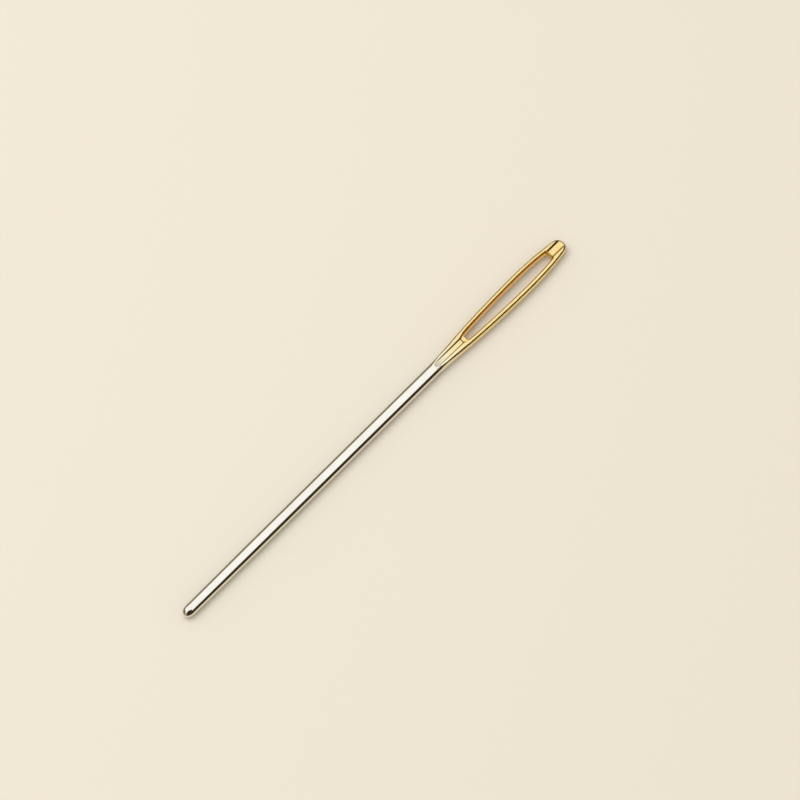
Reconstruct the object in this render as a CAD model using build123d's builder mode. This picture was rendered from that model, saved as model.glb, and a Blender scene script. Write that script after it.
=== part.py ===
from build123d import *
import os
from math import radians, tan

# Large-eye yarn needle: a blunt, nickel-plated shank and a stamped, gold-plated eye end.
# The needle lies flat along X, point towards -X, with the lowest line of the shank on z = 0.
# All sizes are in millimetres.

# Overall length, and the three stretches of the eye end
needle_length = 70.0
shoulder_length = 5.9
opening_length = 15.45
head_length = 2.65

# Round shank and its blunt point
shank_diameter = 1.626
taper_length = 12.0
point_diameter = 1.49
point_dome_length = 1.08

# Outer width of the flattened eye at its stations, from the shank to beyond the head
neck_width = 1.7
shoulder_width = 1.86
opening_start_outer_width = 2.37
limb_rise_width = 2.8
eye_width = 3.02
swell_width = 2.88
opening_end_outer_width = 2.54
runout_width = 1.6

# Height of the flattened eye, which falls towards the head
neck_height = 1.5
shoulder_height = 1.39
opening_start_height = 1.33
limb_rise_height = 1.3
limb_height = 1.28
swell_height = 1.21
head_height = 1.14
runout_height = 1.08

# Places of the stations, as shares of the shoulder and of the opening
neck_place_share = 0.22
shoulder_place_share = 0.45
rise_place_share = 0.27
widest_place_share = 0.59
swell_place_share = 0.86
root_flat_width = 0.04

# Limbs left on both sides of the punched opening, oval in section
limb_width = 0.74
limb_top_width = 0.04
opening_corner_radius = 0.3
shoulder_nose_length = 0.26
head_nose_length = 0.3
head_nose_tip_height = 0.12
wall_height_share = 1.035
wall_arc_angle = 168.0
nose_height_share = 1.08

# Shoulder gutter, a trough that deepens towards the opening and ends in a lower ledge
gutter_start_distance = 0.1
gutter_floor_width = 0.58
gutter_wall_angle = 45.0
gutter_neck_thickness = 1.36
gutter_middle_thickness = 1.18
gutter_end_thickness = 1.02
ledge_length = 0.4
ledge_thickness = 0.78
ledge_end_width = 1.0
ledge_step_angle = 32.0
ledge_side_angle = 65.0

# Head gutter, level along its floor
head_floor_width = 0.83
head_web_thickness = 0.72

# Rounded end of the head
head_round_radius = 1.065
head_round_height = 1.17
head_join_distance = 0.15
head_edge_radius = 0.2

# Length by which punches run past the metal that they cut
overrun = 1.0

# Places along the needle
shank_radius = shank_diameter / 2
axis_height = shank_radius
point_x = -needle_length / 2
head_x = needle_length / 2
opening_end_x = head_x - head_length
opening_start_x = opening_end_x - opening_length
shoulder_x = opening_start_x - shoulder_length

needle_axis = Axis((0, 0, axis_height), (1, 0, 0))
middle_plane = Plane.XY.offset(axis_height)
upright_plane = Plane((0, 0, axis_height), x_dir=(1, 0, 0), z_dir=(0, -1, 0))


def cross_plane(x):
    """Plane square to the needle at x, with its origin on the needle's axis."""
    return Plane((x, 0, axis_height), x_dir=(0, 1, 0), z_dir=(1, 0, 0))


# Shank: turned profile with a long ground taper and a domed blunt point
dome_root_x = point_x + point_dome_length
taper_end_x = point_x + taper_length
point_radius = point_diameter / 2

with BuildPart() as nickel_plated_shank:
    with BuildSketch(upright_plane):
        with BuildLine():
            EllipticalCenterArc((dome_root_x, 0), point_dome_length, point_radius, 90, arc_size=90)
            Polyline(
                (dome_root_x, point_radius),
                (taper_end_x, shank_radius),
                (shoulder_x, shank_radius),
                (shoulder_x, 0),
                (point_x, 0),
            )
        make_face()
    revolve(axis=needle_axis)

# Stations of the eye along the needle: place, outer width, height and width of each oval flank
neck_x = shoulder_x + neck_place_share * shoulder_length
shoulder_middle_x = shoulder_x + shoulder_place_share * shoulder_length
rise_x = opening_start_x + rise_place_share * opening_length
widest_x = opening_start_x + widest_place_share * opening_length
swell_x = opening_start_x + swell_place_share * opening_length
runout_x = head_x + overrun

round_flank_width = shank_diameter - root_flat_width
round_stations = [
    (shoulder_x - overrun, shank_diameter, shank_diameter, round_flank_width),
    (shoulder_x, shank_diameter, shank_diameter, round_flank_width),
]
neck_station = (neck_x, neck_width, neck_height, limb_width)
limb_stations = [
    (shoulder_middle_x, shoulder_width, shoulder_height, limb_width),
    (opening_start_x, opening_start_outer_width, opening_start_height, limb_width),
    (rise_x, limb_rise_width, limb_rise_height, limb_width),
    (widest_x, eye_width, limb_height, limb_width),
    (swell_x, swell_width, swell_height, limb_width),
    (opening_end_x, opening_end_outer_width, head_height, limb_width),
    (runout_x, runout_width, runout_height, limb_width),
]

# Blank: the round wire flattened and spread, flat on top, with an oval flank on each side
# made of two quarter ellipses that meet at half height
with BuildPart() as eye_blank:
    for station_x, width, height, flank_width in round_stations + [neck_station] + limb_stations:
        flank_y = (width - flank_width) / 2
        top_z = height / 2
        with BuildSketch(cross_plane(station_x)):
            with BuildLine():
                Line((flank_y, top_z), (-flank_y, top_z))
                Line((-flank_y, -top_z), (flank_y, -top_z))
                for side, quarter_angles in (1, (-90, 0)), (-1, (90, 180)):
                    for angle in quarter_angles:
                        EllipticalCenterArc(
                            (side * flank_y, 0), flank_width / 2, top_z, angle, arc_size=90
                        )
            make_face()
    loft()
    split(bisect_by=Plane.YZ.offset(shoulder_x))

# Head form: a disc with an oval rim like the flanks, and a long block that leaves the rest alone
head_round_x = head_x - head_round_radius
head_rim_x = head_x - limb_width / 2
head_top_z = head_round_height / 2

with BuildPart() as head_form:
    with BuildSketch(upright_plane):
        with BuildLine():
            EllipticalCenterArc((head_rim_x, 0), limb_width / 2, head_top_z, -90, arc_size=180)
            Polyline(
                (head_rim_x, head_top_z),
                (head_round_x, head_top_z),
                (head_round_x, -head_top_z),
                (head_rim_x, -head_top_z),
            )
        make_face()
    revolve(axis=Axis((head_round_x, 0, axis_height), (0, 0, 1)))
    with BuildSketch(cross_plane(shoulder_x)):
        Rectangle(2 * eye_width, 2 * shank_diameter)
    extrude(amount=head_round_x + head_join_distance - shoulder_x)


def height_off_axis(edge):
    """Height of an edge's middle above or below the needle's axis."""
    return abs(edge.center().Z - axis_height)


# Opening punch: the space between the limbs, with walls that bulge inwards at half height.
# Its ends leave a rounded nose on the shoulder's web and a bevelled one on the head's web.
punch_start_x = opening_start_x - shoulder_nose_length
punch_end_x = opening_end_x + head_nose_length
wall_depth = limb_width / 2 - limb_top_width
half_arc_angle = wall_arc_angle / 2
shoulder_nose_top_z = ledge_thickness / 2 * nose_height_share
head_nose_top_z = head_web_thickness / 2 * nose_height_share

with BuildPart() as opening_punch:
    for station_x, width, height, flank_width in limb_stations:
        wall_y = (width - flank_width) / 2 - limb_top_width
        wall_z = height / 2 * wall_height_share
        with BuildSketch(cross_plane(station_x)):
            with BuildLine():
                right_wall = EllipticalCenterArc(
                    (wall_y, 0), wall_depth, wall_z, 180 - half_arc_angle, arc_size=wall_arc_angle
                )
                left_wall = EllipticalCenterArc(
                    (-wall_y, 0), wall_depth, wall_z, -half_arc_angle, arc_size=wall_arc_angle
                )
                Line(right_wall @ 1, left_wall @ 0)
                Line(left_wall @ 1, right_wall @ 0)
            make_face()
    loft()
    split(bisect_by=Plane.YZ.offset(punch_start_x))
    split(bisect_by=Plane.YZ.offset(punch_end_x), keep=Keep.BOTTOM)
    faces_along_needle = opening_punch.faces().sort_by(Axis.X)
    for end_face in faces_along_needle[0], faces_along_needle[-1]:
        wall_edges = sorted(end_face.edges(), key=height_off_axis)[:2]
        fillet(wall_edges, opening_corner_radius)
    with BuildSketch(upright_plane):
        with Locations((punch_start_x, 0)):
            Ellipse(shoulder_nose_length, shoulder_nose_top_z)
        with BuildLine():
            Polyline(
                (punch_end_x, head_nose_top_z),
                (opening_end_x, head_nose_tip_height / 2),
                (opening_end_x, -head_nose_tip_height / 2),
                (punch_end_x, -head_nose_top_z),
                close=True,
            )
        make_face()
    extrude(amount=eye_width, both=True, mode=Mode.SUBTRACT)

# Gutter punches: troughs with flat floors and sloping walls, alike above and below
gutter_start_x = shoulder_x + gutter_start_distance
ledge_start_x = punch_start_x - ledge_length
trough_height = shank_diameter
wall_run = trough_height / tan(radians(gutter_wall_angle))
ledge_step_run = trough_height / tan(radians(ledge_step_angle))
ledge_side_run = trough_height / tan(radians(ledge_side_angle))
gutter_floor_places = [
    (gutter_start_x, shank_diameter),
    (neck_x, gutter_neck_thickness),
    (shoulder_middle_x, gutter_middle_thickness),
    (ledge_start_x, gutter_end_thickness),
    (opening_start_x + overrun, gutter_end_thickness),
]

with BuildPart() as gutter_punches:
    for place_x, floor_thickness in gutter_floor_places:
        with BuildSketch(cross_plane(place_x)):
            with BuildLine():
                Polyline(
                    (gutter_floor_width / 2, floor_thickness / 2),
                    (gutter_floor_width / 2 + wall_run, floor_thickness / 2 + trough_height),
                    (-gutter_floor_width / 2 - wall_run, floor_thickness / 2 + trough_height),
                    (-gutter_floor_width / 2, floor_thickness / 2),
                    close=True,
                )
            make_face()
    loft()
    with BuildSketch(cross_plane(opening_end_x - overrun)):
        with BuildLine():
            Polyline(
                (head_floor_width / 2, head_web_thickness / 2),
                (head_floor_width / 2 + wall_run, head_web_thickness / 2 + trough_height),
                (-head_floor_width / 2 - wall_run, head_web_thickness / 2 + trough_height),
                (-head_floor_width / 2, head_web_thickness / 2),
                close=True,
            )
        make_face()
    extrude(amount=head_length + 2 * overrun)
    for rise, step_run, side_run in (0, 0, 0), (trough_height, ledge_step_run, ledge_side_run):
        with BuildSketch(middle_plane.offset(ledge_thickness / 2 + rise)):
            with BuildLine():
                Polyline(
                    (ledge_start_x - step_run, gutter_floor_width / 2 + side_run),
                    (opening_start_x, ledge_end_width / 2 + side_run),
                    (opening_start_x, -ledge_end_width / 2 - side_run),
                    (ledge_start_x - step_run, -gutter_floor_width / 2 - side_run),
                    close=True,
                )
            make_face()
    loft()
    mirror(about=middle_plane)

# Eye: the blank with its gutters stamped, its opening punched and its head rounded.
# The floors of the head gutters are rounded over where they run out at the end.
with BuildPart() as gold_plated_eye:
    add(eye_blank.part)
    add(head_form.part, mode=Mode.INTERSECT)
    add(gutter_punches.part, mode=Mode.SUBTRACT)
    add(opening_punch.part, mode=Mode.SUBTRACT)
    head_floors = gold_plated_eye.faces().filter_by(Axis.Z).sort_by(SortBy.AREA)[-2:]
    floor_end_edges = [floor.edges().sort_by(Axis.X)[-1] for floor in head_floors]
    fillet(floor_end_edges, head_edge_radius)

nickel_plated_shank.part.label = "nickel_plated_shank"
gold_plated_eye.part.label = "gold_plated_eye"

os.makedirs("parts", exist_ok=True)
export_step(nickel_plated_shank.part, "parts/nickel_plated_shank.step")
export_step(gold_plated_eye.part, "parts/gold_plated_eye.step")
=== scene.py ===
from math import cos, radians, sin

import bpy
from mathutils import Matrix, Vector


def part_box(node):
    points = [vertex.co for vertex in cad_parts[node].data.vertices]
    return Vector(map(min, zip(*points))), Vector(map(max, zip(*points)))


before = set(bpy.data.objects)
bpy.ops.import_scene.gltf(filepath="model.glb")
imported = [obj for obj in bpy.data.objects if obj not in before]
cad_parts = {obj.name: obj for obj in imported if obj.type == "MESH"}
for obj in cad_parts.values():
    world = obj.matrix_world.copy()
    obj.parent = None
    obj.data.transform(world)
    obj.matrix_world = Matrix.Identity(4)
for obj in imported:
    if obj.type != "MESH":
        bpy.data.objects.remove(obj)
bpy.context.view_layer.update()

# Lengths are in metres
MM = 0.001

white = (1, 1, 1, 1)

# Places along the needle, from its point at the low end of X to its head at the high end
shank_low, shank_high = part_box("nickel_plated_shank")
eye_low, eye_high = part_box("gold_plated_eye")
shank_radius = (shank_high.z - shank_low.z) / 2
needle_middle = Vector(((shank_low.x + eye_high.x) / 2, 0, shank_low.z + shank_radius))
dome_end_x = shank_low.x + 1.08 * MM
plating_x = eye_low.x
ledge_start_x = eye_high.x - 18.5 * MM
opening_start_x = eye_high.x - 18.1 * MM
opening_end_x = eye_high.x - 2.65 * MM
opening_middle_x = (opening_start_x + opening_end_x) / 2
opening_half_length = (opening_end_x - opening_start_x) / 2


# Shader steps. Each value given to them is a socket, or a fixed number, colour or vector


def feed(tree, value, target):
    """Joins a socket to the target input, or sets the input to a fixed value."""
    if isinstance(value, bpy.types.NodeSocket):
        tree.links.new(value, target)
    else:
        target.default_value = value


def add_step(tree, kind, *values, **settings):
    """Outputs of a new node. Values fill its inputs in turn, settings go by name."""
    node = tree.nodes.new(kind)
    for name, value in settings.items():
        if name in node.inputs:
            feed(tree, value, node.inputs[name])
        else:
            setattr(node, name, value)
    for value, target in zip(values, node.inputs):
        feed(tree, value, target)
    return node.outputs


def calculate(tree, operation, *values):
    """The result of a step with numbers."""
    return add_step(tree, "ShaderNodeMath", *values, operation=operation)[0]


def product(tree, first, *others):
    """All the values multiplied."""
    for other in others:
        first = calculate(tree, "MULTIPLY", first, other)
    return first


def vector_step(tree, operation, *vectors):
    """Outputs of a step with vectors."""
    return add_step(tree, "ShaderNodeVectorMath", *vectors, operation=operation)


def split(tree, vector):
    """The X, Y and Z of a vector, by name."""
    return add_step(tree, "ShaderNodeSeparateXYZ", vector)


def map_range(tree, value, from_min, from_max, to_min=0, to_max=1, interpolation="SMOOTHSTEP"):
    """Goes from to_min to to_max while value goes from from_min to from_max, and stays there."""
    levels = value, from_min, from_max, to_min, to_max
    return add_step(tree, "ShaderNodeMapRange", *levels, interpolation_type=interpolation)[0]


def mix(tree, share, first, second, blend_type="MIX"):
    """Turns the first colour into the second as share rises, or multiplies it by the second."""
    return add_step(tree, "ShaderNodeMixRGB", share, first, second, blend_type=blend_type)[0]


def color_ramp(tree, share, stops):
    """The colour at share along the stops, each a place from 0 to 1 and its colour."""
    node = tree.nodes.new("ShaderNodeValToRGB")
    elements = node.color_ramp.elements
    first, *between, last = stops
    elements[0].position, elements[0].color = first
    elements[1].position, elements[1].color = last
    for position, color in between:
        elements.new(position).color = color
    feed(tree, share, node.inputs[0])
    return node.outputs[0]


def new_material(name):
    """A material and its main shader."""
    material = bpy.data.materials.new(name)
    material.use_nodes = True
    return material, material.node_tree.nodes["Principled BSDF"]


# Camera

camera_distance = 1500 * MM
camera_focal_mm = 535.8
camera_sensor_mm = 36.0
camera_azimuth = radians(222.96)
camera_elevation = radians(66.4)
aim_right = 3.167 * MM
aim_up = 3.533 * MM


def add_camera():
    """Looks down on the needle, which runs from the lower left to the upper right."""
    level = Vector((cos(camera_azimuth), sin(camera_azimuth), 0))
    back = level * cos(camera_elevation) + Vector((0, 0, sin(camera_elevation)))
    right = Vector((0, 0, 1)).cross(back).normalized()
    up = back.cross(right)
    aim = needle_middle + aim_right * right + aim_up * up
    data = bpy.data.cameras.new("camera")
    data.lens = camera_focal_mm
    data.sensor_width = camera_sensor_mm
    camera = bpy.data.objects.new("camera", data)
    turn = Matrix((right, up, back)).transposed().to_4x4()
    camera.matrix_world = Matrix.Translation(aim + camera_distance * back) @ turn
    bpy.context.scene.collection.objects.link(camera)
    bpy.context.scene.camera = camera


# Floor and lamp

floor_half_size = 1.5
floor_color = (0.84, 0.79, 0.70, 1)
floor_roughness = 0.85
floor_specular_level = 0.2
softbox_size = 0.55
softbox_place = Vector((-0.10, 0.22, 0.6))
softbox_watts = 2.1


def add_floor():
    """A pale floor that reflections pass by, because they see the room's own floor."""
    mesh = bpy.data.meshes.new("floor")
    half = floor_half_size
    corners = [(-half, -half, 0), (half, -half, 0), (half, half, 0), (-half, half, 0)]
    mesh.from_pydata(corners, [], [(0, 1, 2, 3)])
    floor = bpy.data.objects.new("floor", mesh)
    bpy.context.scene.collection.objects.link(floor)
    material, shader = new_material("pale_floor")
    shader.inputs["Base Color"].default_value = floor_color
    shader.inputs["Roughness"].default_value = floor_roughness
    shader.inputs["Specular IOR Level"].default_value = floor_specular_level
    mesh.materials.append(material)
    floor.visible_glossy = False


def add_softbox():
    """A square lamp above the needle, which gives the soft shadow."""
    data = bpy.data.lights.new("softbox", "AREA")
    data.shape = "SQUARE"
    data.size = softbox_size
    data.energy = softbox_watts
    lamp = bpy.data.objects.new("softbox", data)
    lamp.location = softbox_place
    direction = needle_middle - softbox_place
    lamp.rotation_euler = direction.to_track_quat("-Z", "Y").to_euler()
    lamp.visible_glossy = False
    bpy.context.scene.collection.objects.link(lamp)


# World: what lights the needle, what the camera sees behind it, and what its metal reflects

room_light_color = (1.0, 0.95, 0.85, 1)
room_light_strength = 0.66
backdrop_strength = 1.0
reflection_strength = 1.2

# Reflected walls: colours by how nearly they lie to the dark azimuth, 0 opposite it and 1 at it
dark_azimuth = radians(285)
far_wall_color = (0.15, 0.13, 0.075, 1)
side_wall_color = (0.42, 0.33, 0.20, 1)
dark_wall_color = (0.03, 0.024, 0.013, 1)
wall_colors = (
    (0.03, far_wall_color),
    (0.12, side_wall_color),
    (0.50, side_wall_color),
    (0.75, dark_wall_color),
)

# The walls are low around the light azimuth and high elsewhere. Start and end are shares of
# direction toward it, tops and foot are sines of elevations
light_azimuth = radians(75)
high_wall_end = 0.55
low_wall_start = 0.85
high_wall_top = sin(radians(30))
low_wall_top = sin(radians(8))
wall_foot = sin(radians(-18))
wall_fade = 0.12
reflected_floor_color = (0.72, 0.63, 0.47, 1)

# Round shades in degrees, full up to the inner angle from their middle and gone at the outer one
near_shade = {"azimuth": 236, "elevation": 42, "inner": 31, "outer": 35, "color": dark_wall_color}
right_shade_color = (0.38, 0.32, 0.21, 1)
right_shade = {"azimuth": 20, "elevation": 20, "inner": 30, "outer": 42, "color": right_shade_color}
low_shade_color = (0.22, 0.19, 0.11, 1)
low_shade = {"azimuth": 45, "elevation": -25, "inner": 44, "outer": 55, "color": low_shade_color}


def direction_share(tree, direction, azimuth, elevation):
    """How nearly a direction points to the azimuth and elevation, from -1 to 1."""
    level = cos(elevation)
    target = (level * cos(azimuth), level * sin(azimuth), sin(elevation))
    return vector_step(tree, "DOT_PRODUCT", direction, target)["Value"]


def add_shade(tree, direction, room_color, azimuth, elevation, inner, outer, color):
    """The room's colour with a round shade laid over it."""
    nearness = direction_share(tree, direction, radians(azimuth), radians(elevation))
    share = map_range(tree, nearness, cos(radians(outer)), cos(radians(inner)))
    return mix(tree, share, room_color, color)


def reflected_room(tree):
    """The room's colour by direction: walls, a white ceiling, a pale floor and round shades."""
    direction = add_step(tree, "ShaderNodeTexCoord")["Generated"]
    height = split(tree, direction)["Z"]
    toward_dark = direction_share(tree, direction, dark_azimuth, 0)
    walls = color_ramp(tree, map_range(tree, toward_dark, -1, 1), wall_colors)
    toward_light = direction_share(tree, direction, light_azimuth, 0)
    wall_top = map_range(
        tree, toward_light, high_wall_end, low_wall_start, high_wall_top, low_wall_top)
    above_wall = calculate(tree, "SUBTRACT", height, wall_top)
    room_color = mix(tree, map_range(tree, above_wall, 0, wall_fade), walls, white)
    room_color = add_shade(tree, direction, room_color, **near_shade)
    floor_share = map_range(tree, height, wall_foot, wall_foot - wall_fade)
    room_color = mix(tree, floor_share, room_color, reflected_floor_color)
    room_color = add_shade(tree, direction, room_color, **right_shade)
    return add_shade(tree, direction, room_color, **low_shade)


def build_world():
    """Plain light, a backdrop in the floor's colour, and a room that only reflections see."""
    world = bpy.data.worlds.new("studio")
    bpy.context.scene.world = world
    world.use_nodes = True
    tree = world.node_tree
    tree.nodes.clear()
    ray = add_step(tree, "ShaderNodeLightPath")
    light = add_step(tree, "ShaderNodeBackground", room_light_color, room_light_strength)[0]
    room_color = reflected_room(tree)
    room = add_step(tree, "ShaderNodeBackground", room_color, reflection_strength)[0]
    backdrop = add_step(tree, "ShaderNodeBackground", floor_color, backdrop_strength)[0]
    unseen = add_step(tree, "ShaderNodeMixShader", ray["Is Glossy Ray"], light, room)[0]
    whole = add_step(tree, "ShaderNodeMixShader", ray["Is Camera Ray"], unseen, backdrop)[0]
    add_step(tree, "ShaderNodeOutputWorld", whole)


# Plated metal: nickel on the shank, turning gold over the shoulder

nickel_color = (0.81, 0.79, 0.73, 1)
pale_gold_color = (0.87, 0.78, 0.52, 1)
gold_color = (0.90, 0.705, 0.32, 1)
plating_colors = (
    (0, nickel_color),
    (0.4, pale_gold_color),
    (1, gold_color),
)
gold_start_x = plating_x - 1.5 * MM
gold_full_x = plating_x + 7.0 * MM

# Fine polishing lines along the needle, in roughness and relief, and clouds in its tone. The
# lines' stretch and the clouds' scale are in repeats per metre
line_stretch = (60, 9000, 9000)
line_noise = {"Scale": 1.0, "Detail": 3.0, "Roughness": 0.55}
line_relief = {"Strength": 0.12, "Distance": 0.004 * MM}
fine_roughness = 0.05
coarse_roughness = 0.15
gold_extra_roughness = 0.11
cloud_noise = {"Scale": 420.0, "Detail": 4.0, "Roughness": 0.6}
cloud_color = (0.86, 0.84, 0.80, 1)
cloud_tones = ((0.3, cloud_color), (0.65, white))
cloud_share = 0.5

# Painted shade: brown on the gutters' walls and corners, darker orange on the opening's walls
gutter_shade_tint = (0.34, 0.27, 0.17, 1)
opening_shade_tint = (0.85, 0.64, 0.38, 1)
gutter_wall_shade_share = 0.5
opening_end_shade_share = 0.5
opening_fade = 0.4 * MM
shoulder_fade = 1.0 * MM

# How squarely a wall faces the opening's middle, which sets its painted shade: Y times the normal's
# Y for the walls along the needle, and the normal's X for those across it
side_wall_start = 0.04 * MM
side_wall_full = -0.14 * MM
end_wall_start = -0.3
end_wall_full = -0.6

# Corners of the gutters, which get painted shade: width, distance from the middle, and run along
# the needle
crease_core = 0.03 * MM
crease_reach = 0.12 * MM
crease_fade = 0.2 * MM
shoulder_crease = {
    "crease_y": 0.33 * MM,
    "start": plating_x,
    "full": plating_x + 3.0 * MM,
    "end": ledge_start_x,
}
head_crease = {
    "crease_y": 0.43 * MM,
    "start": opening_end_x,
    "full": opening_end_x + 0.3 * MM,
    "end": eye_high.x - 0.3 * MM,
}

# Where the shank's round normals set in past its dome and stop at the plating's edge
dome_fade = 0.5 * MM
plating_fade = 0.05 * MM


def crease_shade_share(tree, across, along, crease_y, start, full, end):
    """The share of painted shade: 1 in a corner, where across is crease_y, fading in from start to
    full and out at end.
    """
    distance = calculate(tree, "ABSOLUTE", calculate(tree, "SUBTRACT", across, crease_y))
    corner = map_range(tree, distance, crease_reach, crease_core)
    begun = map_range(tree, along, start, full)
    unended = map_range(tree, along, end, end - crease_fade)
    return product(tree, begun, unended, corner)


def gutter_corner_shade(tree, parts):
    """Painted shade in both corners of the gutters over the shoulder, and in the near one of those
    over the head.
    """
    either_side = calculate(tree, "ABSOLUTE", parts["Y"])
    near_side = product(tree, parts["Y"], -1)
    shoulder = crease_shade_share(tree, either_side, parts["X"], **shoulder_crease)
    head = crease_shade_share(tree, near_side, parts["X"], **head_crease)
    return calculate(tree, "MAXIMUM", shoulder, head)


def painted_shade_shares(tree, parts):
    """Shares of painted shade on the gutters' walls and corners, and on the opening's walls."""
    normal = split(tree, add_step(tree, "ShaderNodeNewGeometry")["True Normal"])
    sideways = product(tree, parts["Y"], normal["Y"])
    side_walls = map_range(tree, sideways, side_wall_start, side_wall_full)
    offset = calculate(tree, "SUBTRACT", parts["X"], opening_middle_x)
    lengthways = product(tree, calculate(tree, "SIGN", offset), normal["X"])
    end_walls = map_range(tree, lengthways, end_wall_start, end_wall_full)

    distance = calculate(tree, "ABSOLUTE", offset)
    fade_end = opening_half_length + opening_fade
    past_opening = map_range(tree, distance, opening_half_length, fade_end)
    past_shank = map_range(tree, parts["X"], plating_x, plating_x + shoulder_fade)
    in_opening = calculate(tree, "SUBTRACT", 1, past_opening)
    gutters = product(tree, side_walls, past_opening, past_shank, gutter_wall_shade_share)
    gutter_shade_share = calculate(tree, "MAXIMUM", gutters, gutter_corner_shade(tree, parts))
    sides = product(tree, side_walls, in_opening)
    ends = product(tree, past_shank, opening_end_shade_share, end_walls)
    return gutter_shade_share, calculate(tree, "MAXIMUM", sides, ends)


def plated_color(tree, place, parts, gold_share):
    """Nickel to gold, clouded all over, with painted shade in the recesses."""
    plating = color_ramp(tree, gold_share, plating_colors)
    clouds = add_step(tree, "ShaderNodeTexNoise", place, **cloud_noise)[0]
    tone = color_ramp(tree, clouds, cloud_tones)
    color = mix(tree, cloud_share, plating, tone, "MULTIPLY")
    # Painted shade: darker tints in the gutters and on the opening's walls
    gutter_shade_share, opening_shade_share = painted_shade_shares(tree, parts)
    color = mix(tree, gutter_shade_share, color, gutter_shade_tint, "MULTIPLY")
    return mix(tree, opening_shade_share, color, opening_shade_tint, "MULTIPLY")


def turned_normal(tree, place, parts):
    """Normals straight out from the shank's axis, so that its facets reflect as one round wire."""
    normal = add_step(tree, "ShaderNodeNewGeometry")["Normal"]
    offset = vector_step(tree, "SUBTRACT", place, needle_middle)[0]
    radial = vector_step(tree, "MULTIPLY", offset, (0, 1, 1))[0]
    outward = vector_step(tree, "NORMALIZE", radial)[0]
    past_dome = map_range(tree, parts["X"], dome_end_x, dome_end_x + dome_fade)
    in_shank = map_range(tree, parts["X"], plating_x, plating_x + plating_fade, 1, 0)
    return mix(tree, product(tree, past_dome, in_shank), normal, outward)


def plated_metal(name):
    """Polished plate on steel: the eye's gold fades into nickel, under fine lengthwise lines."""
    material, shader = new_material(name)
    shader.inputs["Metallic"].default_value = 1.0
    tree = material.node_tree
    place = add_step(tree, "ShaderNodeTexCoord")["Object"]
    parts = split(tree, place)
    gold_share = map_range(tree, parts["X"], gold_start_x, gold_full_x)
    color = plated_color(tree, place, parts, gold_share)
    feed(tree, color, shader.inputs["Base Color"])

    stretched = add_step(tree, "ShaderNodeMapping", place, Scale=line_stretch)[0]
    lines = add_step(tree, "ShaderNodeTexNoise", stretched, **line_noise)[0]
    polish = map_range(tree, lines, 0, 1, fine_roughness, coarse_roughness, "LINEAR")
    softness = product(tree, gold_share, gold_extra_roughness)
    feed(tree, calculate(tree, "ADD", polish, softness), shader.inputs["Roughness"])

    round_normal = turned_normal(tree, place, parts)
    relief = add_step(tree, "ShaderNodeBump", Height=lines, Normal=round_normal, **line_relief)[0]
    feed(tree, relief, shader.inputs["Normal"])
    return material


def dress_needle():
    """Both nodes get the same plate in slots of their own, so the fade runs on over the seam."""
    for node, slot in ("nickel_plated_shank", "nickel_plate"), ("gold_plated_eye", "gold_plate"):
        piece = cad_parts[node]
        piece.data.materials.clear()
        piece.data.materials.append(plated_metal(slot))


add_camera()
add_floor()
add_softbox()
build_world()
dress_needle()
bpy.context.scene.view_settings.view_transform = "Standard"
